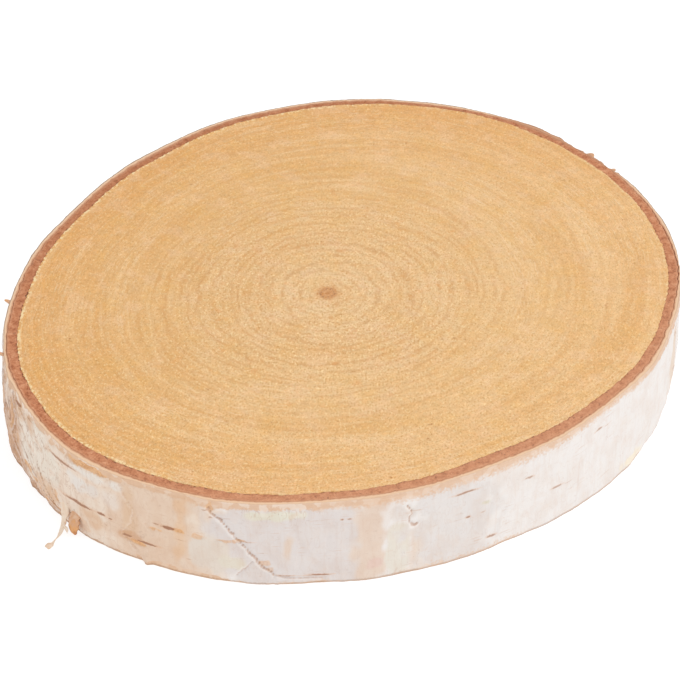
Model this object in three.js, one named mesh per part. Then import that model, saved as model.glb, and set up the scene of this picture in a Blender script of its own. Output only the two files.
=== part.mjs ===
// A slice of a birch trunk with its bark on, sawn across and lying flat.
// Millimetres, +Z up. The origin is the middle of the slice's footprint, on the sawn underside.
// The slice grew as one piece, so it is one closed solid: wood and bark are not taken apart here.

import * as THREE from "three";

// Driving dimensions
const thickness = 30;
const meanRadius = 100.2;

// The trunk is an oval with a slight egg shape. Each lobe wave goes round the trunk `count` times,
// is `share` of the mean radius deep, and stands furthest out towards `towards` degrees from +X.
const lobes = [
  { count: 1, share: 0.008, towards: -131 },
  { count: 2, share: 0.067, towards: 45 },
  { count: 3, share: 0.019, towards: -17 },
  { count: 4, share: 0.003, towards: 34 },
];

// Places where the bark bellies out below the upper saw cut, in degrees and millimetres.
const bellies = [
  { towards: 8, halfWidth: 12, proud: 1.2 },
  { towards: 190, halfWidth: 13, proud: 1.8 },
  { towards: 326, halfWidth: 14, proud: 1.0 },
];

// Long, shallow unevenness of the bark, the same all the way down.
const ripple = { count: 13, depth: 0.25, towards: 5 };

// How finely the curved bark side is divided.
const sidesAround = 120;
const layersUp = 4;

const fullTurn = 2 * Math.PI;

// Signed difference between two directions, between -pi and pi.
function turnBetween(from, to) {
  return Math.atan2(Math.sin(to - from), Math.cos(to - from));
}

// Radius of the bark's outside in one direction, before any belly.
function trunkRadius(angle) {
  let radius = meanRadius;
  for (const lobe of lobes) {
    const towards = THREE.MathUtils.degToRad(lobe.towards);
    radius += meanRadius * lobe.share * Math.cos(lobe.count * (angle - towards));
  }
  const rippleTowards = THREE.MathUtils.degToRad(ripple.towards);
  return radius + ripple.depth * Math.cos(ripple.count * (angle - rippleTowards));
}

// How far the bark bellies out in one direction. It starts at nothing on the upper saw cut.
function bellyOut(angle, height) {
  const below = Math.sin((1 - height / thickness) * Math.PI * 0.5);
  let out = 0;
  for (const belly of bellies) {
    const turn = turnBetween(THREE.MathUtils.degToRad(belly.towards), angle);
    const spread = turn / THREE.MathUtils.degToRad(belly.halfWidth);
    out += belly.proud * below * Math.exp(-spread * spread);
  }
  return out;
}

// One point of the bark's surface.
function barkPoint(angle, height) {
  const radius = trunkRadius(angle) + bellyOut(angle, height);
  return new THREE.Vector3(radius * Math.cos(angle), radius * Math.sin(angle), height);
}

// One closed ring of points round the bark at a height.
function barkRing(height) {
  const ring = [];
  for (let side = 0; side < sidesAround; side += 1) {
    ring.push(barkPoint((side / sidesAround) * fullTurn, height));
  }
  return ring;
}

// Wall between two neighbouring rings, facing outwards.
function wallTriangles(triangles, lower, upper) {
  for (let side = 0; side < sidesAround; side += 1) {
    const next = (side + 1) % sidesAround;
    triangles.push([lower[side], lower[next], upper[next]]);
    triangles.push([lower[side], upper[next], upper[side]]);
  }
}

// A flat saw cut that closes one ring, facing up or down.
function sawCutTriangles(triangles, ring, facesUp) {
  const flat = ring.map((point) => new THREE.Vector2(point.x, point.y));
  for (const [a, b, c] of THREE.ShapeUtils.triangulateShape(flat, [])) {
    triangles.push(facesUp ? [ring[a], ring[b], ring[c]] : [ring[a], ring[c], ring[b]]);
  }
}

// The whole slice: underside, bark wall and upper saw cut, moved so its box stands on the origin.
function sliceGeometry() {
  const rings = [];
  for (let layer = 0; layer <= layersUp; layer += 1) {
    rings.push(barkRing((thickness * layer) / layersUp));
  }
  const triangles = [];
  sawCutTriangles(triangles, rings[0], false);
  for (let layer = 0; layer < layersUp; layer += 1) {
    wallTriangles(triangles, rings[layer], rings[layer + 1]);
  }
  sawCutTriangles(triangles, rings[layersUp], true);

  const geometry = new THREE.BufferGeometry().setFromPoints(triangles.flat());
  geometry.computeBoundingBox();
  const middle = geometry.boundingBox.getCenter(new THREE.Vector3());
  geometry.translate(-middle.x, -middle.y, 0);
  geometry.computeVertexNormals();
  return geometry;
}

// Pale sawn birch, dry and dull.
const sawnBirch = new THREE.MeshStandardMaterial({
  color: 0xe8bc7c,
  roughness: 0.72,
  metalness: 0,
});

const birchSlice = new THREE.Mesh(sliceGeometry(), sawnBirch);
birchSlice.name = "birch_slice";

const group = new THREE.Group();
group.name = "birch_wood_slice";
group.add(birchSlice);

export default group;
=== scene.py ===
# %% [markdown]
# # A slice of birch trunk
# The thing on the bench is one slice, sawn straight across a birch trunk with its bark still on. It grew as
# one piece, but the eye reads three skins: pale sawn wood, a reddish ring of corky inner bark, and the
# papery outer bark that wraps the edge. Each skin is made here as its own closed mesh, so that each can
# have its own surface. The solid slice that they stand for comes from the frame, and it fixes every size.

# %% Load the frame and its size
import math
from functools import partial

import bpy
import numpy as np
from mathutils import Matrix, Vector, noise


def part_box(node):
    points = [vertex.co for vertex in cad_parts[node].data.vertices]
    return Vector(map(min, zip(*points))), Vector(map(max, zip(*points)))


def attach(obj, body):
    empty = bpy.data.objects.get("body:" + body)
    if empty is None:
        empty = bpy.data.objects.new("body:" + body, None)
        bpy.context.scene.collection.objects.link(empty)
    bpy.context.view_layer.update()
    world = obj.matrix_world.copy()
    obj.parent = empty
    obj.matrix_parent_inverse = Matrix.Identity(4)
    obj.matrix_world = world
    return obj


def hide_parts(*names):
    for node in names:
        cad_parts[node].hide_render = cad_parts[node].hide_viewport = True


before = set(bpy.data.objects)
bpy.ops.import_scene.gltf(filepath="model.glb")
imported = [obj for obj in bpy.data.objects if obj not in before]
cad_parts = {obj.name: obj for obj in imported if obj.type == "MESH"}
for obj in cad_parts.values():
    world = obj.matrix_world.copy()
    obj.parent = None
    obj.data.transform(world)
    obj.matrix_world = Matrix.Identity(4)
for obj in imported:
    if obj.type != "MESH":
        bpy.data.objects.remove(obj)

MM = 0.001
FULL_TURN = 2 * math.pi
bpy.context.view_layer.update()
slice_low, slice_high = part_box("birch_slice")
THICKNESS = (slice_high.z - slice_low.z) / MM

# %% [markdown]
# ## The camera
# A long lens from above the front edge keeps the slice's oval calm: with little perspective, the near and
# far edges are almost at the same scale. It is made first, because everything else is judged through it.

# %% Camera
LOOKS_DOWN = math.radians(38)
CAMERA_DISTANCE = 877.7 * MM
AIMS_AT = Vector((-1.7, 10.4, 0)) * MM
LENS_MM, SENSOR_MM = 150, 36


def make_camera():
    """A long lens that looks along +Y and down at the slice."""
    lens = bpy.data.cameras.new("bench_camera")
    lens.lens = LENS_MM
    lens.sensor_width = SENSOR_MM
    lens.clip_start = 0.05
    lens.clip_end = 20
    camera = bpy.data.objects.new("bench_camera", lens)
    bpy.context.scene.collection.objects.link(camera)
    back = Vector((0, -math.cos(LOOKS_DOWN), math.sin(LOOKS_DOWN)))
    camera.location = AIMS_AT + back * CAMERA_DISTANCE
    camera.rotation_mode = "QUATERNION"
    camera.rotation_quaternion = (-back).to_track_quat("-Z", "Y")
    bpy.context.scene.camera = camera
    return camera


camera = make_camera()
print(f"camera at {camera.location}")

# %% [markdown]
# ## The trunk's outline
# A birch trunk is never a true circle. This one is an oval with a slight egg shape, which a few waves round
# a mean radius describe: each wave has a number of lobes, a depth and a direction. The same formula shaped
# the solid in the frame, so the skins lie on it without any fitting. From here on, lengths are in mm.

# %% Outline of the trunk
MEAN_RADIUS = 100.2
LOBES = ((1, 0.008, -131), (2, 0.067, 45), (3, 0.019, -17), (4, 0.003, 34))
RIPPLES, RIPPLE_DEPTH, RIPPLE_TOWARDS = 13, 0.25, 5
BELLIES = ((8, 12, 1.2), (190, 13, 1.8), (326, 14, 1.0))
PITH = np.array((-5.6, -4.9))


def turn_from(towards, angle):
    """Signed turn in radians from a direction in degrees to each angle."""
    return (angle - math.radians(towards) + math.pi) % FULL_TURN - math.pi


def near(direction, half_width, angle, power=2):
    """1 at a direction in degrees, fading out half a width to either side, abruptly with a high power."""
    return np.exp(-(turn_from(direction, angle) / math.radians(half_width)) ** power)


def trunk_radius(angle):
    """Radius of the bark's outside in each direction, before it bellies out."""
    radius = MEAN_RADIUS + RIPPLE_DEPTH * np.cos(RIPPLES * (angle - math.radians(RIPPLE_TOWARDS)))
    for count, share, towards in LOBES:
        radius = radius + MEAN_RADIUS * share * np.cos(count * (angle - math.radians(towards)))
    return radius


def belly_out(angle, height):
    """How far the bark stands out below the upper saw cut, in a few directions."""
    below = np.sin((1 - np.clip(height / THICKNESS, 0, 1)) * math.pi / 2)
    out = 0 * angle
    for towards, half_width, proud in BELLIES:
        out = out + proud * below * near(towards, half_width, angle)
    return out


def outline_middle():
    """Middle of the outline's box, which the frame puts at its origin."""
    angle = np.linspace(0, FULL_TURN, 721)
    edges = [(trunk_radius(angle) + belly_out(angle, h)) for h in (0, THICKNESS / 2, THICKNESS)]
    x = np.concatenate([r * np.cos(angle) for r in edges])
    y = np.concatenate([r * np.sin(angle) for r in edges])
    return np.array(((x.min() + x.max()) / 2, (y.min() + y.max()) / 2))


MIDDLE = outline_middle()


def place(angle, radius, height):
    """Points in the frame, in millimetres, from a direction, a radius and a height."""
    x = radius * np.cos(angle) - MIDDLE[0]
    y = radius * np.sin(angle) - MIDDLE[1]
    return np.stack(np.broadcast_arrays(x, y, height), axis=-1)


print(f"outline middle {MIDDLE.round(2)} mm from the trunk's own centre")

# %% [markdown]
# ## Unevenness
# Nothing that grew is smooth. Fractal noise, read at each point in space, gives the same unevenness on both
# sides of any seam, and it is the same on every run. The size says over how many millimetres it changes,
# and it may differ along X, Y and Z, which draws it out into streaks.

# %% Unevenness from noise
def unevenness(points, size, octaves=3, start=0.0):
    """A smooth random value at each point, roughly -1 to 1, that changes over `size` millimetres."""
    scaled = points.reshape(-1, 3) / np.asarray(size, float) + start
    values = [noise.fractal(Vector(p), 1.0, 2.0, octaves) for p in scaled.tolist()]
    return np.array(values).reshape(points.shape[:-1]) * 1.6


def soft_step(value, low, high):
    """0 below low, 1 above high, and a smooth rise between them."""
    t = np.clip((value - low) / (high - low), 0, 1)
    return t * t * (3 - 2 * t)


# %% [markdown]
# ## From rows of points to a closed mesh
# The two bark rings are both shaped like a hoop: a section that closes on itself, carried round the trunk.
# Laid out as a grid of section steps by directions, every cell is one quad, and the hoop closes in both
# ways. A long thin hoop would waste a square texture, so its UVs fold it into bands that lie one above the
# other.

# %% Mesh helpers
BAND_GAP, SIDE_GAP = 0.004, 0.002


def make_object(name, points, faces, face_uvs, values, colours=None):
    """A smooth-shaded mesh object from points in millimetres, with a value per point in each layer."""
    mesh = bpy.data.meshes.new(name)
    mesh.from_pydata((points * MM).tolist(), [], faces)
    uv_layer = mesh.uv_layers.new(name="OFBake")
    uv_layer.data.foreach_set("uv", np.asarray(face_uvs, np.float32).ravel())
    for layer, numbers in values.items():
        attribute = mesh.attributes.new(layer, "FLOAT", "POINT")
        attribute.data.foreach_set("value", np.asarray(numbers, np.float32).ravel())
    for layer, paint in (colours or {}).items():
        attribute = mesh.attributes.new(layer, "FLOAT_COLOR", "POINT")
        attribute.data.foreach_set("color", np.asarray(paint, np.float32).ravel())
    mesh.polygons.foreach_set("use_smooth", [True] * len(mesh.polygons))
    mesh.update()
    made = bpy.data.objects.new(name, mesh)
    bpy.context.scene.collection.objects.link(made)
    print(f"{name}: {len(mesh.vertices)} points, {len(mesh.polygons)} faces")
    return made


def hoop_faces(steps, directions):
    """Quads of a hoop whose section has `steps` points and which has `directions` sections."""
    i, j = np.meshgrid(np.arange(steps), np.arange(directions), indexing="ij")
    i_next, j_next = (i + 1) % steps, (j + 1) % directions
    row, next_row = i * directions, i_next * directions
    corners = (row + j, row + j_next, next_row + j_next, next_row + j)
    return np.stack(corners, axis=-1).reshape(-1, 4)


def hoop_uvs(along_section, directions, bands):
    """UVs for each quad's corners. `along_section` runs from 0 to 1, once round the section and back."""
    steps = len(along_section) - 1
    i, j = np.meshgrid(np.arange(steps), np.arange(directions), indexing="ij")
    per_band = directions // bands
    band, within = j // per_band, j % per_band
    gap = BAND_GAP * bands
    u0, u1 = (SIDE_GAP + (1 - 2 * SIDE_GAP) * w / per_band for w in (within, within + 1))
    v0, v1 = ((band + gap + along_section[k] * (1 - 2 * gap)) / bands for k in (i, i + 1))
    corners = ((u0, v0), (u1, v0), (u1, v1), (u0, v1))
    return np.stack([np.stack(c, axis=-1) for c in corners], axis=2).reshape(-1, 2)


# %% [markdown]
# ## How thick each skin is
# The papery outer bark with its peach underlayer is about 1.5 mm thick. The corky inner bark under it is 1
# to 4 mm, widest at the front and on the left, and thin towards the back right, where the trunk leaned. The
# saw tears both a little, so their meeting line with the wood is ragged at the scale of a millimetre.

# %% Skins from the outside in
DIRECTIONS = 1056
OUTER_BARK = 1.5
# Direction in degrees, and the millimetres of bark from the outside in to the wood.
BARK_WIDTHS = (
    (0, 4.2), (20, 3.9), (37, 4.5), (50, 3.7), (62, 3.05), (75, 2.5), (88, 3.6), (110, 3.75), (135, 4),
    (165, 4.1), (177, 4.6), (190, 4.85), (213, 4.5), (233, 5.1), (247, 4.65), (272, 4.3), (285, 4.6),
    (302, 5.3), (318, 4.8), (345, 4.05),
)
around = np.arange(DIRECTIONS) / DIRECTIONS * FULL_TURN


def bark_width(angle):
    """Width of both barks together, eased between the directions where it is known."""
    directions, widths = zip(*BARK_WIDTHS)
    turns = np.degrees(angle)
    return np.mean([np.interp(turns + step, directions, widths, period=360) for step in (-4, 0, 4)], axis=0)


def wood_edge(angle):
    """Radius where the sawn wood ends, torn slightly uneven."""
    radius = trunk_radius(angle) - bark_width(angle)
    points = place(angle, radius, 0.0)
    return radius + 0.2 * unevenness(points, 1.1, 2) + 0.2 * unevenness(points, 9, 2, 7.0)


edge = wood_edge(around)
print(f"wood radius {edge.min():.1f} to {edge.max():.1f} mm")

# %% [markdown]
# ## The sawn wood
# A disc that grows outwards from its pith is best meshed the same way: rings of points round the pith, with
# twice as many points each time the rings get too coarse. Each point remembers which growth ring it lies
# on, in millimetres from the pith, and near the edge those rings follow the trunk's outline instead of a
# circle. A band saw leaves a surface that looks flat but isn't: shallow waves and torn fibres a tenth of a
# millimetre deep, and they are real relief here.

# %% Rings of points for a sawn face
# Rings are evenly spaced up to this many hundredths of the way out, with half as many points as the edge
# has, and a few full ones follow. Inside half of the second value they have a quarter, and inside a quarter
# of it an eighth.
EVEN_RINGS_END, HALVED_BELOW = 96.5, 96 / 1.9
EDGE_RINGS = (0.972, 0.981, 0.99, 0.9985, 1.0)


def face_rings(finest, spacing):
    """(share of the way from pith to edge, number of points) for each ring of a sawn face."""
    rings = []
    reach = spacing
    while reach < EVEN_RINGS_END:
        count = finest
        while count > finest // 8 and reach < HALVED_BELOW * count / finest:
            count //= 2
        rings.append((reach / 100, min(count, finest // 2)))
        reach += spacing
    return rings + [(share, finest) for share in EDGE_RINGS]


def ring_points(share, count):
    """Places and growth-ring numbers of one ring of points on a sawn face."""
    angle = np.arange(count) / count * FULL_TURN
    radius = np.interp(angle, around, edge, period=FULL_TURN)
    outer = np.stack((radius * np.cos(angle), radius * np.sin(angle)), axis=-1)
    reach = np.hypot(*(outer - PITH).T)
    growth = share * ((1 - share) * reach + share * 100)
    xy = PITH + share * (outer - PITH)
    return xy - MIDDLE, growth


def join_rings(first_inner, inner_count, first_outer, outer_count):
    """Faces between two rings of points, the outer with as many points as the inner or twice as many."""
    faces = []
    for j in range(inner_count):
        k = (j + 1) % inner_count
        a, b = first_inner + j, first_inner + k
        if outer_count == inner_count:
            faces.append((a, first_outer + j, first_outer + k, b))
        else:
            left, middle = first_outer + 2 * j, first_outer + 2 * j + 1
            right = first_outer + (2 * j + 2) % outer_count
            faces += [(a, left, middle), (a, middle, b), (b, middle, right)]
    return faces


# %% Wood mesh
TOP_SPACING, UNDER_SPACING = 0.95, 2.4
# Where each face lies on the square texture: its middle, and texture widths per millimetre along X and Y.
TOP_UV, UNDER_UV = (0.37, 0.0034, 0.0034), (0.78, 0.0019, -0.0019)
WALL_UV = (0.01, 0.51, 0.9, 0.95)


def saw_relief(xy, seed):
    """Height of the sawn surface above its flat, in millimetres."""
    points = np.concatenate((xy, np.full((len(xy), 1), seed)), axis=1)
    waves = 0.05 * unevenness(points, (14, 3.5, 14), 2)
    torn = 0.05 * unevenness(points, 2.2, 2, 3.0)
    return waves + torn


def sawn_face(finest, spacing, height, seed, facing):
    """Points, growth numbers and faces of one sawn face. `facing` is 1 for the top, -1 for the underside."""
    xy, growth, faces = [PITH[None] - MIDDLE], [np.zeros(1)], []
    first, last_first, last_count = 1, 0, 1
    for share, count in face_rings(finest, spacing):
        points, numbers = ring_points(share, count)
        if last_count == 1:
            faces += [(0, first + j, first + (j + 1) % count) for j in range(count)]
        else:
            faces += join_rings(last_first, last_count, first, count)
        xy.append(points)
        growth.append(numbers)
        last_first, last_count, first = first, count, first + count
    xy, growth = np.concatenate(xy), np.concatenate(growth)
    relief = saw_relief(xy, seed)
    relief = relief if facing > 0 else -np.abs(relief)
    points = np.concatenate((xy, (height + facing * relief)[:, None]), axis=1)
    if facing < 0:
        faces = [tuple(reversed(face)) for face in faces]
    return points, growth, faces


def make_wood():
    """The sawn wood: top, underside and the wall between them that the bark hides."""
    top, top_growth, top_faces = sawn_face(DIRECTIONS, TOP_SPACING, THICKNESS, 0.0, 1)
    under, under_growth, under_faces = sawn_face(DIRECTIONS, UNDER_SPACING, 0.0, 50.0, -1)
    first_under = len(top)
    under_faces = [tuple(v + first_under for v in face) for face in under_faces]
    points = np.concatenate((top, under))
    uvs = [(middle + points[v, 0] * per_x, middle + points[v, 1] * per_y)
           for faces, (middle, per_x, per_y) in ((top_faces, TOP_UV), (under_faces, UNDER_UV))
           for face in faces for v in face]
    top_edge, under_edge = len(top) - DIRECTIONS, len(points) - DIRECTIONS
    wall_faces = []
    left, right, low, high = WALL_UV
    for j in range(DIRECTIONS):
        k = (j + 1) % DIRECTIONS
        wall_faces.append((under_edge + j, under_edge + k, top_edge + k, top_edge + j))
        u0, u1 = (left + (right - left) * n / DIRECTIONS for n in (j, j + 1))
        uvs += [(u0, low), (u1, low), (u1, high), (u0, high)]
    growth = np.concatenate((top_growth, under_growth))
    return make_object("sawn_wood", points, top_faces + under_faces + wall_faces, uvs, {"growth_mm": growth})


wood = make_wood()

# %% [markdown]
# ## The corky inner bark
# On the saw cut this shows as a reddish-brown ring with a crumbly surface, a little lower than the wood
# because it is softer. It is a hoop with its own closed section, and a hairline of shadow parts it from the
# wood where the two have dried apart.

# %% Inner bark
GLUE_LINE = 0.05
WALL_START = 0.4
# Unevenness that doesn't change up the trunk is read on one level circle of this radius.
READ_AT_RADIUS = 100.0
TOP_STEPS, LOW_STEPS = 12, 4


def hoop_piece(name, section, layers, section_mm, bands, colours=None):
    """A closed hoop from rows of points, starting at the foot of its outer wall and going up and over.
    `section_mm` is the room that each step of the section gets on the texture."""
    along = np.concatenate(((0.0,), np.cumsum(section_mm)))
    uvs = hoop_uvs(along / along[-1], DIRECTIONS, bands)
    faces = hoop_faces(len(section), DIRECTIONS).tolist()
    return make_object(name, section.reshape(-1, 3), faces, uvs, layers, colours)


def wall(radius):
    """Two rows of points, low and high, for an upright wall of the slice."""
    heights = np.array([[WALL_START], [THICKNESS - WALL_START]])
    return place(around, np.stack((radius, radius)), heights)


def sprung(angle):
    """1 where the outer bark has sprung away from the cork, on the right, and 0 elsewhere."""
    return soft_step(turn_from(-4, angle), 0.0, 0.15) * (1 - soft_step(turn_from(28, angle), -0.1, 0.02))


def round_unevenness(angle, size, start):
    """Unevenness that changes only round the trunk and not up it."""
    return unevenness(place(angle, READ_AT_RADIUS, 0.0), size, 3, start)


def seam_wander(angle):
    """How far the seam between inner and outer bark wanders from its even line."""
    return 0.22 * round_unevenness(angle, 2.6, 17.0) + 0.6 * sprung(angle)


def make_inner_bark():
    """The ring of corky bark between the wood and the papery outer bark."""
    outer = trunk_radius(around) - OUTER_BARK + seam_wander(around) - GLUE_LINE - 0.13 * sprung(around)
    dried = unevenness(place(around, edge, 0.0), 4, 3, 11.0)
    inner = edge - 0.03 + 0.45 * near(215, 45, around) * np.clip(dried - 0.35, 0, 1)
    across = np.linspace(0.98, 0.02, TOP_STEPS)[:, None]
    top = place(around, inner + (outer - inner) * across, THICKNESS)
    top[..., 2] += 0.13 * unevenness(top, 0.9, 2) + 0.1 * unevenness(top, 3.5, 2, 5.0) - 0.07
    across_low = np.linspace(0.05, 0.95, LOW_STEPS)[:, None]
    low = place(around, inner + (outer - inner) * across_low, 0.05)
    low[..., 2] += 0.1 * np.abs(unevenness(low, 1.5, 2))
    section = np.concatenate((wall(outer), top, wall(inner)[::-1], low))
    across_all = np.concatenate((np.ones((2, 1)), across, np.zeros((2, 1)), across_low))
    layers = {"across": np.repeat(across_all, DIRECTIONS, axis=1)}
    section_mm = [2.0] + [0.3] * (TOP_STEPS + 1) + [2.0] + [0.8] * (LOW_STEPS + 1)
    return hoop_piece("inner_bark", section, layers, section_mm, 8)


inner_bark = make_inner_bark()

# %% [markdown]
# ## What marks the outer bark
# Birch bark is a stack of paper-thin layers. Lenticels, the slits it breathes through, run round the trunk
# as short dark dashes. Where the saw or a knock has chipped the white paper away, a peach layer shows, and
# where the tear goes deeper it is orange and fibrous. Each mark is one line here: a direction in degrees
# round the trunk, a height above the underside, and its own size, all in millimetres. The marks on the front
# are listed one by one.

# %% Marks on the outer bark
# Lenticels: direction, height, length, thickness, and how dark from 0 to 1.
LENTICELS = [
    (210, 27.5, 5.5, 1.1, 0.9), (214.2, 27.6, 4, 0.7, 0.6), (214.3, 21.3, 2.5, 0.6, 0.4),
    (219.3, 24, 1.5, 0.7, 0.6), (223.6, 24.7, 12.5, 1.1, 0.85), (224.3, 21, 2, 0.5, 0.4),
    (226.5, 12.6, 12.5, 1.25, 0.95), (230.9, 12.7, 3.4, 1.1, 1), (232.6, 12.6, 1.6, 0.8, 0.8),
    (235.4, 8.8, 3.6, 1.1, 0.8), (238.6, 8.3, 8.5, 1, 0.95), (240.4, 16.6, 2.2, 0.7, 0.6),
    (242.4, 16.5, 4.6, 1.5, 1), (244.5, 13.2, 4, 0.5, 0.4), (245.6, 6.7, 2.2, 0.5, 0.5),
    (247.3, 17.3, 2.8, 0.5, 0.5), (248.3, 26.4, 2.2, 0.5, 0.6), (249.3, 24.1, 1.2, 1.1, 0.5),
    (254.8, 16.1, 4.6, 0.45, 0.6), (256.9, 12.3, 4, 0.4, 0.3), (251.5, 24.3, 5, 0.4, 0.25),
    (260.5, 3.7, 6.5, 0.6, 0.8), (265.6, 3.5, 8, 0.8, 0.9), (269.2, 23.5, 1, 0.9, 0.8),
    (270.4, 23.5, 1.6, 0.7, 0.6), (266, 23.7, 10, 0.4, 0.2), (290.5, 24, 9, 0.85, 0.75),
    (291, 14.6, 1.8, 0.9, 0.8), (293.9, 14.6, 2, 0.6, 0.4), (289, 14.6, 5, 0.4, 0.2),
    (295.6, 4.7, 3.8, 0.9, 0.7), (298.2, 4.4, 4.5, 0.45, 0.25), (303, 21.1, 3.8, 0.8, 0.6),
    (309.2, 12.8, 5, 0.9, 0.6), (312, 12.3, 4, 0.45, 0.25), (312.6, 9, 2, 0.5, 0.2),
    (319.6, 23.8, 4, 0.8, 0.6), (322, 23.3, 4, 0.5, 0.4), (322.5, 26.2, 6, 0.4, 0.25),
]
# Deep tears: direction, height, half length, half height, and how deep from 0 to 1. The one at 227.2 degrees,
# beside the rolled tongue, is painted shadow of the tongue with a shallow dent.
TEARS = [
    (228.3, 28.2, 5.3, 1.2, 0.9), (237.2, 7, 1.9, 0.9, 0.9), (244, 16.4, 1.4, 0.6, 1),
    (239.7, 14.4, 1, 0.6, 0.7), (241.1, 14.2, 1, 0.5, 0.7), (247, 15.7, 1.3, 0.8, 0.6),
    (251, 15.8, 2.2, 0.4, 0.6), (253, 16.2, 1.2, 0.4, 0.7), (257.1, 8.3, 1.2, 0.8, 0.5),
    (258, 5.8, 0.8, 1.1, 0.4), (249, 27.4, 0.7, 1.6, 0.5), (211.8, 7, 3.3, 1.3, 0.8),
    # The tear at 227.2 degrees, 5 mm up, is painted shadow of the rolled tongue.
    (223.3, 7.3, 1.4, 0.7, 0.6), (227.2, 5, 1.8, 2.6, 0.3), (219, 3.6, 5, 0.8, 0.6),
    (203.5, 6, 2, 3.5, 0.6), (206.6, 20, 0.9, 5, 0.5), (201, 19, 0.8, 6, 0.6), (208.5, 13.5, 1.2, 2.6, 0.4),
    (215, 5.5, 2.5, 0.7, 0.6), (221.2, 9, 0.9, 2.5, 0.5),
]
# Creases and lifted edges: how strong, then the line through (direction, height).
CREASES = [
    (1, (249, 27), (251, 22.5), (253, 17), (256, 10), (258.5, 3.5)),
    (0.7, (255.5, 9), (254.2, 6), (252.8, 3.2)), (0.7, (258.5, 3.5), (261, 2.6), (266, 2)),
    (0.6, (234.5, 27), (235.5, 22), (237, 19), (236.2, 14), (234.8, 9), (236.5, 4)),
    (0.45, (238.5, 26), (239.5, 20), (238.6, 15), (240, 12)),
    (0.9, (280, 25), (280.6, 22), (280.1, 19.5), (281, 17.3), (281.7, 18)),
    (0.5, (214.5, 19.5), (216, 20.5), (217, 18), (216, 15), (214.8, 16)),
    (0.6, (212, 27), (213.3, 22), (212.5, 18), (214, 13)),
    (0.8, (207, 28), (208.5, 20), (206.5, 12), (209, 5)),
    (0.75, (203, 27), (204, 20), (202.5, 13), (204.5, 6)),
    (0.7, (199, 26), (198.2, 18), (200, 11), (199, 4)),
    (0.85, (209.5, 13), (213, 8.5), (218, 4.6), (222, 2)), (0.4, (262, 21), (262.6, 14), (262.2, 6)),
    (0.4, (267, 20), (266.6, 12), (267.2, 5)), (0.35, (227, 22), (228, 16), (227.4, 12)),
    (0.65, (211.5, 14), (214, 11), (215.3, 7), (217.5, 4.5)),
    (0.75, (216, 13), (217.2, 9.5), (219.3, 6.5), (220, 3)), (0.75, (219.5, 12.5), (220.5, 9), (221.8, 6)),
    (0.65, (210, 20), (211.4, 17), (210.8, 14.5)), (0.65, (218, 25), (218.8, 23)),
    (0.65, (205.4, 24), (206.8, 20), (206.2, 16)), (0.6, (221.5, 17), (222.2, 14)),
    (0.65, (201.5, 24), (202.6, 19), (201.8, 14)), (0.7, (210.5, 26), (212, 23.5), (212.6, 21)),
    (0.6, (196.5, 25), (197.2, 19), (196.2, 12)), (0.6, (121, 28), (123, 20), (120, 11), (122, 3)),
    (0.6, (131, 27), (129.5, 18), (132, 9)), (0.8, (70, 26), (66, 18), (64, 9), (60, 3)),
    (0.5, (100, 22), (101, 14), (99.5, 6)), (0.6, (155, 27), (152, 17), (156, 6)),
]
# Tinted paper: direction, height, half length, half height, softness of its edge, colour.
TINTS = [
    (226, 15, 48, 40, 7, "#E4D1BF"), (204, 15, 13, 30, 7, "#BE906B"), (239, 15, 13, 30, 6, "#DFC5AE"),
    (262, 15, 24, 18, 5, "#DAD1CD"), (215.5, 17, 10, 12, 4, "#E2D5C5"), (231, 25.4, 7, 1.3, 1.5, "#E3D9CF"),
    (212, 1.5, 18, 2.6, 1.2, "#BC9272"), (201, 12, 4, 9, 2, "#BC9070"), (205, 25, 2.5, 5, 1.5, "#DCC9B8"),
    (199, 20, 2.5, 7, 1.5, "#DDCFC2"), (236, 17, 2.2, 10, 1.5, "#DBBB9D"),
    (236, 8.6, 3.2, 1.6, 1.5, "#CFA37F"), (233, 20, 3.5, 3.5, 2, "#E4D5C8"),
    (227.5, 20.5, 5, 2.5, 1.5, "#E2D8CF"), (219, 8, 7, 3.4, 3, "#DAB898"), (212, 25.5, 5, 3, 2, "#D4B08F"),
    (229, 9, 4, 3, 2.5, "#DDBDA0"), (244.3, 19, 1.2, 9, 1.8, "#E0BD9C"), (244, 6, 1.2, 4, 1.8, "#DFBD9D"),
    (249, 10, 5, 7, 2, "#DDD0C3"), (252.5, 8, 3, 2, 1.5, "#DDD3C3"), (258.8, 25.6, 6.2, 1.6, 1, "#DDD8C8"),
    (260.9, 15.5, 1, 4, 1.2, "#DCC8B8"), (274, 15, 4.6, 20, 2.8, "#DECABA"),
    (274.5, 6, 1.8, 1.6, 1.2, "#DDC2B5"), (278.4, 10, 3.7, 10.5, 0.8, "#DFD7CB"),
    (279.4, 22.5, 5, 2.8, 1.6, "#DDD3CC"), (281.9, 8, 3, 9, 1.4, "#DFCEC0"),
    (288.5, 14, 14, 20, 9, "#DDD6D2"), (294.5, 17.8, 1.6, 0.8, 0.6, "#D6CFBC"),
    (329.5, 2, 5, 1.6, 1.4, "#EDE1CC"),
]
HIDDEN_TINT_COLOURS = ("#E0D1C4", "#DDC9B7", "#DDD8CF", "#E3D8CC", "#DAC4AF")
# Patches where the paper has come off in steps: direction, height, half width in degrees, half height,
# strength.
STEPPED = [
    (201, 14, 9, 22, 1), (216, 2, 9, 6, 0.9), (238, 8, 5, 9, 0.4), (128, 12, 9, 16, 0.35),
    (62, 20, 6, 12, 0.35),
]
HIDDEN_SIDE = (-14, 186)
HIDDEN_LENTICEL_COUNT, HIDDEN_TINT_COUNT = 44, 18
random_marks = np.random.default_rng(11)


def hidden_lenticels():
    """Seeded lenticels for the far side, in the same mix of sizes as the ones listed for the front."""
    marks = []
    for _ in range(HIDDEN_LENTICEL_COUNT):
        direction = random_marks.uniform(*HIDDEN_SIDE)
        height = random_marks.uniform(3, 27)
        length = 1.5 + 11 * random_marks.random() ** 2
        marks.append((direction, height, length, random_marks.uniform(0.5, 1), random_marks.uniform(0.3, 1)))
    return marks


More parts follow.
